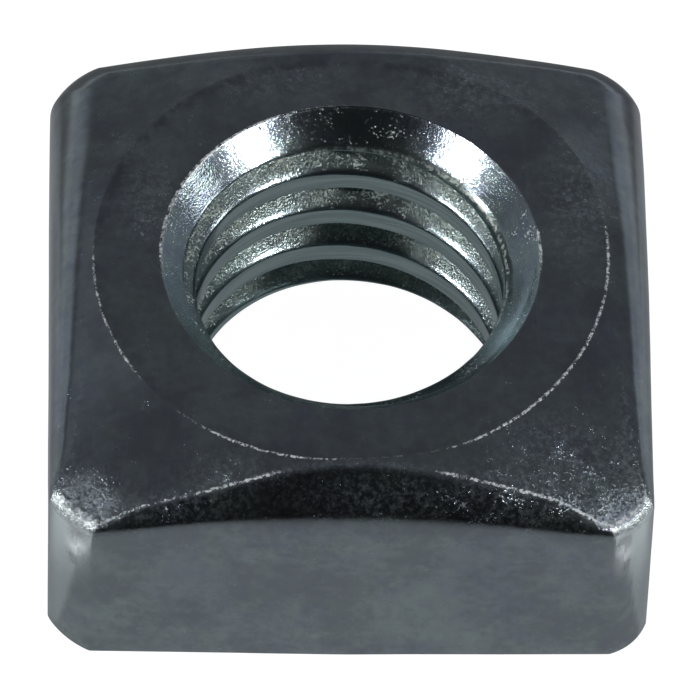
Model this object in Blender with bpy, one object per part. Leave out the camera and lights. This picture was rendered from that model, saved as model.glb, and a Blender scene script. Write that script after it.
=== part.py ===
"""Square nut, M6 x 1, 10 mm across flats: one cold-formed, tapped and zinc-plated steel piece.

It lies on its bearing face. The origin is the centre of that face and +Z is the thread axis, so the
chamfered crown looks up. The flats face +X, -X, +Y and -Y. Lengths are in metres.
"""

import math

import bmesh
import bpy
import numpy as np

# Driving dimensions of the forged blank
ACROSS_FLATS = 0.0100
THICKNESS = 0.00443
CORNER_RADIUS = 0.00108
BASE_EDGE_RADIUS = 0.00012

# Crown: the shallow cone on the upper side, and the rolled edge where it meets the flats.
# The strip is what is left of the cone between the crown circle and the rolled edge, mid-flat.
CROWN_SLOPE = math.radians(22.5)
CROWN_EDGE_RADIUS = 0.0011
CROWN_STRIP = 0.00004

# Right-hand thread of the ISO metric form, with crests that stop short of the basic minor diameter
THREAD_DIAMETER = 0.0060
THREAD_PITCH = 0.0010
THREAD_ANGLE = math.radians(60.0)
CREST_ALLOWANCE = 0.0001
GROOVE_START = 0.00136

# Countersinks, which open wider than the thread at the crown and barely wider at the bearing face
COUNTERSINK_ANGLE = math.radians(96.0)
CROWN_COUNTERSINK_CLEARANCE = 0.000165
BASE_COUNTERSINK_CLEARANCE = 0.00002

# Sizes that follow from the ones above
HALF_FLATS = ACROSS_FLATS / 2
CROWN_EDGE_INSET = CROWN_EDGE_RADIUS * (1 - math.sin(CROWN_SLOPE))
CROWN_FLAT_RADIUS = HALF_FLATS - CROWN_EDGE_INSET - CROWN_STRIP
TRIANGLE_HEIGHT = THREAD_PITCH / 2 / math.tan(THREAD_ANGLE / 2)
MAJOR_RADIUS = THREAD_DIAMETER / 2
MINOR_RADIUS = MAJOR_RADIUS - TRIANGLE_HEIGHT * 5 / 8 + CREST_ALLOWANCE
GROOVE_ROOT_WIDTH = THREAD_PITCH / 8
COUNTERSINK_SLOPE = math.tan(COUNTERSINK_ANGLE / 2)
CROWN_COUNTERSINK_RADIUS = MAJOR_RADIUS + CROWN_COUNTERSINK_CLEARANCE
BASE_COUNTERSINK_RADIUS = MAJOR_RADIUS + BASE_COUNTERSINK_CLEARANCE
CUTTER_OVERRUN = 0.0003

# Fineness of the mesh
FLAT_STEPS = 14
CORNER_STEPS = 7
EDGE_STEPS = 7
BASE_EDGE_STEPS = 3
BORE_SEGMENTS = 64

SHARP_ANGLE = math.radians(25.0)

PLATE_COLOUR = (0.50, 0.53, 0.55, 1.0)
PLATE_ROUGHNESS = 0.28


def remove_scene_objects():
    """Takes every object out of the scene."""
    for obj in list(bpy.data.objects):
        bpy.data.objects.remove(obj, do_unlink=True)


def zinc_plate():
    """The bright zinc plate, as a metallic finish."""
    material = bpy.data.materials.new("zinc_plate")
    material.use_nodes = True
    shader = material.node_tree.nodes["Principled BSDF"]
    shader.inputs["Base Color"].default_value = PLATE_COLOUR
    shader.inputs["Metallic"].default_value = 1.0
    shader.inputs["Roughness"].default_value = PLATE_ROUGHNESS
    material.diffuse_color = PLATE_COLOUR
    return material


def object_from(name, points, faces):
    """A mesh object with its faces turned outwards."""
    mesh = bpy.data.meshes.new(name)
    mesh.from_pydata([tuple(point) for point in points], [], faces)
    shape = bmesh.new()
    shape.from_mesh(mesh)
    bmesh.ops.recalc_face_normals(shape, faces=shape.faces)
    shape.to_mesh(mesh)
    shape.free()
    obj = bpy.data.objects.new(name, mesh)
    bpy.context.scene.collection.objects.link(obj)
    return obj


def bands(ring_count, ring_size):
    """The four-sided faces between each ring of points and the next, and a cap at each end."""
    faces = []
    for ring in range(ring_count - 1):
        for i in range(ring_size):
            j = (i + 1) % ring_size
            low = ring * ring_size
            high = low + ring_size
            faces.append((low + i, low + j, high + j, high + i))
    last = (ring_count - 1) * ring_size
    faces.append(tuple(range(ring_size)))
    faces.append(tuple(range(last, last + ring_size)))
    return faces


def outline():
    """The square plan with round corners, as points and the outward normal at each one.

    One quarter runs up the +X flat and round the corner after it. The other three are the same
    points turned by 90, 180 and 270 degrees.
    """
    reach = HALF_FLATS - CORNER_RADIUS
    along = np.linspace(-reach, reach, FLAT_STEPS + 1)
    flat = np.column_stack([np.full_like(along, HALF_FLATS), along])
    flat_normals = np.tile([1.0, 0.0], (len(along), 1))
    turn = np.linspace(0, math.pi / 2, CORNER_STEPS + 1)[1:-1]
    corner_normals = np.column_stack([np.cos(turn), np.sin(turn)])
    corner = corner_normals * CORNER_RADIUS + reach
    quarter = np.vstack([flat, corner])
    normals = np.vstack([flat_normals, corner_normals])
    points = []
    facing = []
    for step in range(4):
        cosine = math.cos(step * math.pi / 2)
        sine = math.sin(step * math.pi / 2)
        turned = np.array([[cosine, sine], [-sine, cosine]])
        points.append(quarter @ turned)
        facing.append(normals @ turned)
    return np.vstack(points), np.vstack(facing)


def ring(plan, height):
    """Points of a plan lifted to a height, which is one number or one for each point."""
    return np.column_stack([plan, np.broadcast_to(height, len(plan))])


def crown_height(plan):
    """The height of the crown cone over each point of a plan."""
    away = np.linalg.norm(plan, axis=1)
    return THICKNESS - (away - CROWN_FLAT_RADIUS) * math.tan(CROWN_SLOPE)


def blank_rings():
    """The outside of the nut as rings of points, from the bearing face up to the crown circle."""
    plan, normals = outline()
    rings = []
    # A small quarter round runs along the base edge.
    for angle in np.linspace(0, math.pi / 2, BASE_EDGE_STEPS + 1):
        inset = BASE_EDGE_RADIUS * (1 - math.sin(angle))
        rings.append(ring(plan - normals * inset, BASE_EDGE_RADIUS * (1 - math.cos(angle))))
    # The rolled edge turns from the upright wall to the slope that the cone has square to the wall.
    # It starts at the height from which it lands on the cone.
    radial = plan / np.linalg.norm(plan, axis=1, keepdims=True)
    slope = np.arctan(math.tan(CROWN_SLOPE) * (radial * normals).sum(axis=1))
    sweep = math.pi / 2 - slope
    landing = plan - normals * (CROWN_EDGE_RADIUS * (1 - np.cos(sweep)))[:, None]
    start = crown_height(landing) - CROWN_EDGE_RADIUS * np.sin(sweep)
    for share in np.linspace(0, 1, EDGE_STEPS + 1):
        inset = CROWN_EDGE_RADIUS * (1 - np.cos(sweep * share))
        height = start + CROWN_EDGE_RADIUS * np.sin(sweep * share)
        rings.append(ring(plan - normals * inset[:, None], height))
    # Straight lines down the cone join the rolled edge to the crown circle.
    away = np.linalg.norm(landing, axis=1, keepdims=True)
    rings.append(ring(landing / away * CROWN_FLAT_RADIUS, THICKNESS))
    return rings


def make_blank():
    """The forged blank: a closed solid with no hole in it yet."""
    rings = blank_rings()
    return object_from("square_nut", np.vstack(rings), bands(len(rings), len(rings[0])))


def make_bore_cutter():
    """A turned plug of the minor diameter that opens into a countersink at each end."""
    flare = CUTTER_OVERRUN * COUNTERSINK_SLOPE
    base_depth = (BASE_COUNTERSINK_RADIUS - MINOR_RADIUS) / COUNTERSINK_SLOPE
    crown_depth = (CROWN_COUNTERSINK_RADIUS - MINOR_RADIUS) / COUNTERSINK_SLOPE
    profile = [
        (BASE_COUNTERSINK_RADIUS + flare, -CUTTER_OVERRUN),
        (MINOR_RADIUS, base_depth),
        (MINOR_RADIUS, THICKNESS - crown_depth),
        (CROWN_COUNTERSINK_RADIUS + flare, THICKNESS + CUTTER_OVERRUN),
    ]
    turn = np.arange(BORE_SEGMENTS) * 2 * math.pi / BORE_SEGMENTS
    circle = np.column_stack([np.cos(turn), np.sin(turn)])
    rings = [ring(circle * radius, height) for radius, height in profile]
    return object_from("bore_cutter", np.vstack(rings), bands(len(rings), BORE_SEGMENTS))


def make_thread_cutter():
    """The groove of the thread: one trapezium swept along a right-hand helix past both faces.

    The trapezium has the root flat at the major radius. Its flanks lean by half the thread angle,
    and run on to a little inside the minor radius, where the bore is already open.
    """
    inner_radius = MINOR_RADIUS - TRIANGLE_HEIGHT / 8
    half_root = GROOVE_ROOT_WIDTH / 2
    half_mouth = half_root + (MAJOR_RADIUS - inner_radius) * math.tan(THREAD_ANGLE / 2)
    section = [
        (inner_radius, -half_mouth),
        (MAJOR_RADIUS, -half_root),
        (MAJOR_RADIUS, half_root),
        (inner_radius, half_mouth),
    ]
    overrun = half_mouth + CUTTER_OVERRUN
    first = -math.ceil((GROOVE_START + overrun) / THREAD_PITCH * BORE_SEGMENTS)
    last = math.ceil((THICKNESS - GROOVE_START + overrun) / THREAD_PITCH * BORE_SEGMENTS)
    # Half a step of turn keeps these sections off the edges of the bore cutter.
    share = (np.arange(first, last + 1) + 0.5) / BORE_SEGMENTS
    circle = np.column_stack([np.cos(2 * math.pi * share), np.sin(2 * math.pi * share)])
    middle = GROOVE_START + share * THREAD_PITCH
    corners = [ring(circle * radius, middle + offset) for radius, offset in section]
    points = np.stack(corners, axis=1).reshape(-1, 3)
    return object_from("thread_cutter", points, bands(len(share), len(section)))


def cut(target, cutter):
    """Takes the cutter out of the target and leaves the cutter in the scene as a hidden helper."""
    modifier = target.modifiers.new(cutter.name, "BOOLEAN")
    modifier.operation = "DIFFERENCE"
    modifier.solver = "EXACT"
    modifier.object = cutter
    cutter.hide_render = True
    cutter.display_type = "WIRE"


def shade(target):
    """Makes the cuts part of the mesh and shades it smooth, apart from its sharp edges."""
    bpy.context.view_layer.update()
    graph = bpy.context.evaluated_depsgraph_get()
    mesh = bpy.data.meshes.new_from_object(target.evaluated_get(graph))
    target.modifiers.clear()
    target.data = mesh
    mesh.name = target.name
    mesh.shade_smooth()
    mesh.set_sharp_from_angle(angle=SHARP_ANGLE)


def main():
    """Builds the nut: the blank, then the bore with its countersinks, then the thread."""
    remove_scene_objects()
    nut = make_blank()
    nut.data.materials.append(zinc_plate())
    cut(nut, make_bore_cutter())
    cut(nut, make_thread_cutter())
    shade(nut)


main()
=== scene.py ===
"""The looks of the square nut: a cold-formed, tapped and zinc-plated steel nut on a pale floor.

The nut is one closed surface. It is a grid that runs round the thread axis one way, and the other
way out over the bearing face, up the flats, over the rolled edge and the crown cone, in over the
flat crown and down the countersink and the threaded bore, back to where it began.
Lengths are in metres, +Z is the thread axis, and the bearing face lies on the floor.
"""

import logging
import math
from collections.abc import Callable
from dataclasses import dataclass, field
from enum import Enum
from typing import Any

import bpy
import numpy as np
from mathutils import Matrix, Vector


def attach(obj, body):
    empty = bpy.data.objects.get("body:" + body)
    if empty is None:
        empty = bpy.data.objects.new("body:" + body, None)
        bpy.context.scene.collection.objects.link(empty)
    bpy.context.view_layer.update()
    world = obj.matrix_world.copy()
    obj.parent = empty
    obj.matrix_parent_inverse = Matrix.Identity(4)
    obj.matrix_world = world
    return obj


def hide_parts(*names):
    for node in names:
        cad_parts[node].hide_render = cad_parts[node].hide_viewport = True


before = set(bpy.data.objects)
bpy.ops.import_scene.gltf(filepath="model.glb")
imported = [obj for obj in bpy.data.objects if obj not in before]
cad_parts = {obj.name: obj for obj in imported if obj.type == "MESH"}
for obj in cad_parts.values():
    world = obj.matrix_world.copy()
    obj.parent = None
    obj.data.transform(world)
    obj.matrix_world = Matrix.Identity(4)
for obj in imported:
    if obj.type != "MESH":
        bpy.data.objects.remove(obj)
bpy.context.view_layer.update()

Array = np.ndarray
Colour = tuple[float, float, float]
Place = tuple[float, float, float]
Range = tuple[float, float]
Line = tuple[tuple[float, ...], tuple[float, ...]]
Node = bpy.types.Node
Socket = bpy.types.NodeSocket
# What a node's input takes: a number, a colour, a vector or another node's output
Value = Any

LOG = logging.getLogger("square_nut")
MILLIMETRE = 0.001
FULL_TURN = 2 * math.pi


def smooth_step(values: Array, low: float, high: float) -> Array:
    """Eases from 0 at low to 1 at high, with level ends: t squared times 3 minus 2 t."""
    share = np.clip((values - low) / (high - low), 0.0, 1.0)
    return share * share * (3.0 - 2.0 * share)


def smooth_max(first: Array, second: Array, width: float) -> Array:
    """The larger of two surfaces, with a parabola over the corner where they differ by little."""
    near = np.maximum(width - np.abs(first - second), 0.0) / width
    return np.maximum(first, second) + near * near * width / 4.0


def bell(distance: Array, width: float) -> Array:
    """A bell curve: e to the power of minus the square of the distance over the width."""
    return np.exp(-((distance / width) ** 2))


def smoothed(values: Array, reach: int, ends: str) -> Array:
    """Each number's mean with its neighbours up to the reach, weighted by a raised cosine."""
    kernel = np.hanning(2 * reach + 3)[1:-1]
    return np.convolve(np.pad(values, reach, mode=ends), kernel / kernel.sum(), "valid")


def swell(points: Array, seed: int, wavelength: float, waves: int = 24) -> Array:
    """Even unrest in space: a sum of plane cosine waves in seeded directions and phases.

    Args:
        points: Places, with the coordinates along the last axis.
        seed: Picks the directions and phases.
        wavelength: The middle of the range of wavelengths.
        waves: How many waves are summed.

    Returns:
        A value for each place, mostly between -1 and 1.
    """
    rng = np.random.default_rng(seed)
    directions = rng.normal(size=(waves, 3))
    directions /= np.linalg.norm(directions, axis=1, keepdims=True)
    numbers = FULL_TURN / wavelength * rng.uniform(0.6, 1.6, size=(waves, 1))
    phases = rng.uniform(0.0, FULL_TURN, size=waves)
    total = np.zeros(points.shape[:-1])
    for direction, number, phase in zip(directions, numbers, phases, strict=True):
        total += np.cos(points @ (direction * number) + phase)
    return total / math.sqrt(waves * 2.0)


def lift(plan: Array, height: Array | float) -> Array:
    """Points of a plan raised to a height, which is one number or one for each point."""
    return np.column_stack([plan, np.broadcast_to(height, len(plan))])


def placed(name: str, data: bpy.types.ID) -> bpy.types.Object:
    """Puts a new object of that data in the scene.

    Args:
        name: The object's name.
        data: Its mesh, light or camera.

    Returns:
        The object.
    """
    piece = bpy.data.objects.new(name, data)
    bpy.context.scene.collection.objects.link(piece)
    return piece


@dataclass(frozen=True)
class NutSizes:
    """The sizes of the nut, which are those of the solid part."""

    across_flats: float = 0.0100
    thickness: float = 0.00443
    crown_slope: float = math.radians(22.5)
    crown_edge_radius: float = 0.0011
    crown_strip: float = 0.00004
    major_radius: float = 0.0030
    minor_radius: float = 0.0025587
    pitch: float = 0.0010
    groove_start: float = 0.00136
    countersink_slope: float = math.tan(math.radians(48.0))
    crown_countersink: float = 0.003165
    base_countersink: float = 0.00302

    @property
    def half_flats(self) -> float:
        """Half of the width across the flats."""
        return self.across_flats / 2

    @property
    def crown_radius(self) -> float:
        """The radius of the circle where the flat crown meets the cone."""
        inset = self.crown_edge_radius * (1 - math.sin(self.crown_slope))
        return self.half_flats - inset - self.crown_strip

    def cone_height(self, plan: Array) -> Array:
        """The height of the cone over each point: it falls evenly outside the crown circle."""
        away = np.linalg.norm(plan, axis=1)
        return self.thickness - (away - self.crown_radius) * math.tan(self.crown_slope)


class Zone(Enum):
    """The stretches of the profile, in the order in which the grid runs over them."""

    BASE = 0
    WALL = 1
    ROLL = 2
    CONE = 3
    CROWN = 4
    BORE = 5


@dataclass(frozen=True)
class CornerForm:
    """A corner of the plan: a slightly bulging facet between two small round edges.

    The cut is how far along each flat the corner starts. The turn is how much each small edge
    turns, and the facet turns by the rest of a right angle. The edge share is the share of the
    steps that each small edge takes. The draw is how much shorter the cut gets for each unit that
    the corner moves in.
    """

    cut: float
    turn: float
    edge_radius: float = 0.00018
    edge_share: float = 0.26
    draw: float = 0.586

    def curve(self, steps: int) -> tuple[Array, Array]:
        """Three arcs in a row, laid between the ends of two flats that meet at the origin.

        Args:
            steps: How many steps the whole corner has.

        Returns:
            The points, measured from the sharp corner, and the angle that each one faces.
        """
        small, left = self.edge_radius, math.pi / 2 - self.turn
        reach = small * (1 + math.sin(self.turn) - math.cos(self.turn))
        large = (self.cut - reach) / (math.cos(self.turn) - math.sin(self.turn))
        start, end = self.edge_share, 1 - self.edge_share
        share = np.linspace(0, 1, steps + 1)
        facing = np.interp(share, [0, start, end, 1], [0, self.turn, left, math.pi / 2])
        middle = (share[1:] + share[:-1]) / 2
        radius = np.where((middle > start) & (middle < end), large, small)
        across, along = (
            np.concatenate([[0], np.cumsum(radius * np.diff(part))])
            for part in (np.cos(facing), np.sin(facing))
        )
        points = np.column_stack([across, along * self.cut / along[-1] - self.cut])
        points[:, 0] *= -self.cut / across[-1]
        return points, facing

    def inner(self, inset: float) -> "CornerForm":
        """The same corner of a plan that lies further in by the inset, with sharper edges."""
        return CornerForm(self.cut - self.draw * inset, self.turn, self.edge_radius / 3)


@dataclass(frozen=True)
class CornerPair:
    """One corner at the crown and at the base, and how far the crown's rolled edge reaches in.

    The nut's sides blend from the one to the other.
    """

    crown: CornerForm
    base: CornerForm
    inset: float


BACK_RIGHT = CornerPair(CornerForm(0.00074, 0.28), CornerForm(0.00074, 0.26), 0.00073)
BACK_LEFT = CornerPair(CornerForm(0.00073, 0.40), CornerForm(0.00074, 0.36), 0.00080)
FRONT_LEFT = CornerPair(CornerForm(0.00078, 0.52), CornerForm(0.00074, 0.50), 0.00015)
FRONT_RIGHT = CornerPair(CornerForm(0.00072, 0.46), CornerForm(0.00066, 0.34), 0.00015)

# How far the rolled edge reaches in, in millimetres, at places from -1 to 1 along each flat
RIGHT_ROLL: Line = ((-1, -0.85, -0.5, 0.3, 1), (0.15, 0.38, 0.52, 0.56, 0.73))
BACK_ROLL: Line = ((-1, -0.5, 0, 0.5, 1), (0.73, 0.76, 0.74, 0.78, 0.80))
LEFT_ROLL: Line = ((-1, -0.4, 0.5, 0.85, 1), (0.80, 0.62, 0.56, 0.40, 0.15))
FRONT_ROLL: Line = (
    (-1, -0.90, -0.64, -0.47, -0.3, 0, 0.3, 0.6, 0.78, 0.9, 1),
    (0.24, 0.30, 0.40, 0.51, 0.64, 0.76, 0.68, 0.54, 0.46, 0.34, 0.24),
)

# How far the crown's circle wanders out, in hundredths of a millimetre, by the angle in degrees
CROWN_WANDER: Line = (
    (-180, -136, -120, -105, -95, -86, -76, -66, -44, 0, 35, 50, 70, 90, 105, 120, 140, 180),
    (0, 5, 1, -4, -10, -14, -10, -4, -3, 0, 8, 3, -12, -15, -12, -3, 0, 0),
)


@dataclass
class Outline:
    """The square plan with its four corners, as columns of the grid.

    The reaches say how many steps on each side the smoothing takes in.
    """

    sizes: NutSizes
    flat_steps: int = 56
    corner_steps: int = 23
    corners: tuple[CornerPair, ...] = (BACK_RIGHT, BACK_LEFT, FRONT_LEFT, FRONT_RIGHT)
    rolls: tuple[Line, ...] = (RIGHT_ROLL, BACK_ROLL, LEFT_ROLL, FRONT_ROLL)
    base_edges: Range = (0.00004, 0.00014)
    roll_reach: int = 3
    wander_steps: int = 720
    wander_reach: int = 14
    crown: Array = field(init=False)
    base: Array = field(init=False)
    landing: Array = field(init=False)
    base_edge: Array = field(init=False)
    facing: Array = field(init=False)
    turn: Array = field(init=False)

    def __post_init__(self) -> None:
        """Lays each flat and the corner after it, and turns them by 0, 90, 180 and 270 degrees."""
        crown, base, landing, facing = [], [], [], []
        for side, roll in enumerate(self.rolls):
            before, after = self.corners[side - 1], self.corners[side]
            angle = side * math.pi / 2
            sine, cosine = math.sin(angle), math.cos(angle)
            turned = np.array([[cosine, sine], [-sine, cosine]])
            plan, faced = self.quarter(before.crown, after.crown)
            crown.append(plan @ turned)
            facing.append(faced + angle)
            base.append(self.quarter(before.base, after.base)[0] @ turned)
            landing.append(self.landing_quarter(before, after, roll) @ turned)
        self.crown, self.base, self.landing = np.vstack(crown), np.vstack(base), np.vstack(landing)
        self.facing = np.concatenate(facing)
        middle = np.abs(self.crown).min(axis=1) / self.sizes.half_flats
        self.base_edge = self.base_edges[0] + (self.base_edges[1] - self.base_edges[0]) * middle
        self.turn = np.unwrap(np.arctan2(self.landing[:, 1], self.landing[:, 0]))

    def quarter(self, before: CornerForm, after: CornerForm) -> tuple[Array, Array]:
        """The +X flat between two corners, and the second of them.

        Args:
            before: The corner at the flat's start.
            after: The corner at its end.

        Returns:
            The points, and the angle that each one faces.
        """
        half = self.sizes.half_flats
        along = np.linspace(before.cut - half, half - after.cut, self.flat_steps + 1)
        points, facing = after.curve(self.corner_steps)
        flat = np.column_stack([np.full_like(along, half), along])
        return (
            np.vstack([flat, points[1:-1] + half]),
            np.concatenate([np.zeros(len(flat)), facing[1:-1]]),
        )

    def landing_quarter(self, before: CornerPair, after: CornerPair, roll: Line) -> Array:
        """Where the rolled edge of the +X side lands on the cone: the plan moved in.

        The insets are smoothed, and near each end they ease into the corner's own by a bell curve.

        Args:
            before: The corner at the flat's start.
            after: The corner at its end.
            roll: The insets along the flat.

        Returns:
            The plan's points.
        """
        half = self.sizes.half_flats
        start = before.inset + before.crown.inner(before.inset).cut - half
        end = half - after.inset - after.crown.inner(after.inset).cut
        insets = np.interp(np.linspace(-1, 1, self.flat_steps + 1), *roll) * MILLIMETRE
        insets = smoothed(insets, self.roll_reach, "edge")
        ease = bell(np.arange(len(insets)), self.roll_reach)
        insets += (before.inset - insets[0]) * ease + (after.inset - insets[-1]) * ease[::-1]
        flat = np.column_stack([half - insets, np.linspace(start, end, self.flat_steps + 1)])
        points = after.crown.inner(after.inset).curve(self.corner_steps)[0]
        return np.vstack([flat, points[1:-1] + half - after.inset])

    def at(self, share: float | Array) -> tuple[Array, Array]:
        """The plan between the base, at share 0, and the crown, at share 1, and its normals.

        Args:
            share: Where the plan is taken, one number or one for each column.

        Returns:
            The plan's points and its outward normals.
        """
        share = np.asarray(share)[..., None]
        plan = self.base + (self.crown - self.base) * share
        along = np.roll(plan, -1, axis=0) - np.roll(plan, 1, axis=0)
        along /= np.linalg.norm(along, axis=1, keepdims=True)
        return plan, np.column_stack([along[:, 1], -along[:, 0]])

    @property
    def circle(self) -> Array:
        """The points of a unit circle at the columns' angles."""
        return np.column_stack([np.cos(self.turn), np.sin(self.turn)])

    @property
    def crown_radii(self) -> Array:
        """The radius of the crown's edge at each column: the circle's, and its smoothed wander."""
        even = np.linspace(-180.0, 180.0, self.wander_steps, endpoint=False)
        wander = np.interp(even, *CROWN_WANDER) * MILLIMETRE / 100
        wander = smoothed(wander, self.wander_reach, "wrap")
        return self.sizes.crown_radius + np.interp(np.degrees(self.turn), even, wander, period=360)


@dataclass
class Shell:
    """The outside of the nut, from the bearing face to the rim of the crown countersink.

    The roll crowding sets its rows closer near the cone. The near rows are the distances of the
    cone's closest rows from its ends, each as a length and as the largest share of the slope.
    The burr steps are in burr widths.
    """

    sizes: NutSizes
    outline: Outline
    base_rows: int = 3
    base_edge_rows: int = 3
    wall_rows: int = 19
    roll_rows: int = 25
    roll_crowding: float = 1.25
    cone_rows: int = 8
    near_rows: tuple[Range, ...] = ((0.00002, 0.12), (0.00005, 0.3))
    crown_rows: int = 10
    burr_width: float = 0.000035
    burr_height: float = 0.000010
    burr_steps: tuple[float, ...] = (0.0, -0.5, -1.0, -1.5, -2.2, -3.2)

    def base(self) -> list[Array]:
        """The bearing face, from the rim of its countersink out to the edge, and the edge's round.

        The face blends evenly from the circle to the plan. The round is a quarter circle.

        Returns:
            The rows, innermost first.
        """
        plan, normals = self.outline.at(0.0)
        inner = self.outline.circle * self.sizes.base_countersink
        edge = self.outline.base_edge[:, None]
        outer = plan - normals * edge
        rows = [
            lift(inner + (outer - inner) * share, 0.0)
            for share in np.linspace(0, 1, self.base_rows + 1)
        ]
        for angle in np.linspace(0, math.pi / 2, self.base_edge_rows + 1)[1:]:
            inset = edge * (1 - math.sin(angle))
            rows.append(lift(plan - normals * inset, edge[:, 0] * (1 - math.cos(angle))))
        return rows

    def sweep(self) -> tuple[Array, Array, Array]:
        """The arc of the rolled edge at each column: it is tangent to the wall and to the cone.

        Returns:
            The angle it sweeps, its radius, and the height at which it starts.
        """
        plan, landing = self.outline.crown, self.outline.landing
        inwards = landing - plan
        reach = np.linalg.norm(inwards, axis=1)
        radial = landing / np.linalg.norm(landing, axis=1, keepdims=True)
        across = -(radial * inwards).sum(axis=1) / reach
        angle = math.pi / 2 - np.arctan(math.tan(self.sizes.crown_slope) * across)
        radius = reach / (1 - np.cos(angle))
        start = self.sizes.cone_height(landing) - radius * np.sin(angle)
        return angle, radius, start

    def wall(self) -> list[Array]:
        """The upright flats, as even shares of the height between the two rounded edges.

        Returns:
            The rows, lowest first.
        """
        low = self.outline.base_edge
        rise = self.sweep()[2] - low
        shares = np.linspace(0, 1, self.wall_rows + 1)[1:]
        return [lift(self.outline.at(share)[0], low + rise * share) for share in shares]

    def rolled_edge(self) -> list[Array]:
        """The round from the wall to the cone: an arc from each column to its landing point.

        Returns:
            The rows, lowest first.
        """
        angle, radius, start = self.sweep()
        plan, landing = self.outline.crown, self.outline.landing
        rows = []
        for share in 1 - (1 - np.linspace(0, 1, self.roll_rows + 1)[1:]) ** self.roll_crowding:
            reached = (1 - np.cos(angle * share)) / (1 - np.cos(angle))
            height = start + radius * np.sin(angle * share)
            rows.append(lift(plan + (landing - plan) * reached[:, None], height))
        return rows

    def cone(self) -> list[Array]:
        """Straight lines up the cone, with two close rows at each end of them.

        Returns:
            The rows, lowest first.
        """
        low = lift(self.outline.landing, self.sizes.cone_height(self.outline.landing))
        radii = self.outline.crown_radii
        high = lift(self.outline.circle * radii[:, None], self.sizes.thickness)
        length = np.linalg.norm(high - low, axis=1)
        first, second = (
            np.minimum(distance, length * share) / length for distance, share in self.near_rows
        )
        middle = [
            second + (1 - 2 * second) * share for share in np.linspace(0, 1, self.cone_rows)[1:-1]
        ]
        shares = (first, second, *middle, 1 - second, 1 - first)
        return [low + (high - low) * share[:, None] for share in shares]

    def crown(self) -> list[Array]:
        """The flat crown, with a fine burr along its outer circle and round the countersink.

        A burr is a bell curve in the radius. The face between them lies lower by its height.

        Returns:
            The rows, outermost first.
        """
        sizes, width, radii = self.sizes, self.burr_width, self.outline.crown_radii
        steps = np.array(self.burr_steps) * width
        edge = radii + steps[:, None]
        rim = (sizes.crown_countersink - steps)[::-1, None] + 0 * radii
        middle = np.linspace(edge[-1], rim[0], self.crown_rows + 2)[1:-1]
        rows = []
        for radius in np.concatenate([edge, middle, rim]):
            burrs = bell(radius - radii, width) + bell(radius - sizes.crown_countersink, width)
            height = sizes.thickness - self.burr_height * (1 - np.minimum(burrs, 1.0))
            rows.append(lift(self.outline.circle * radius[:, None], height))
        return rows


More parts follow.
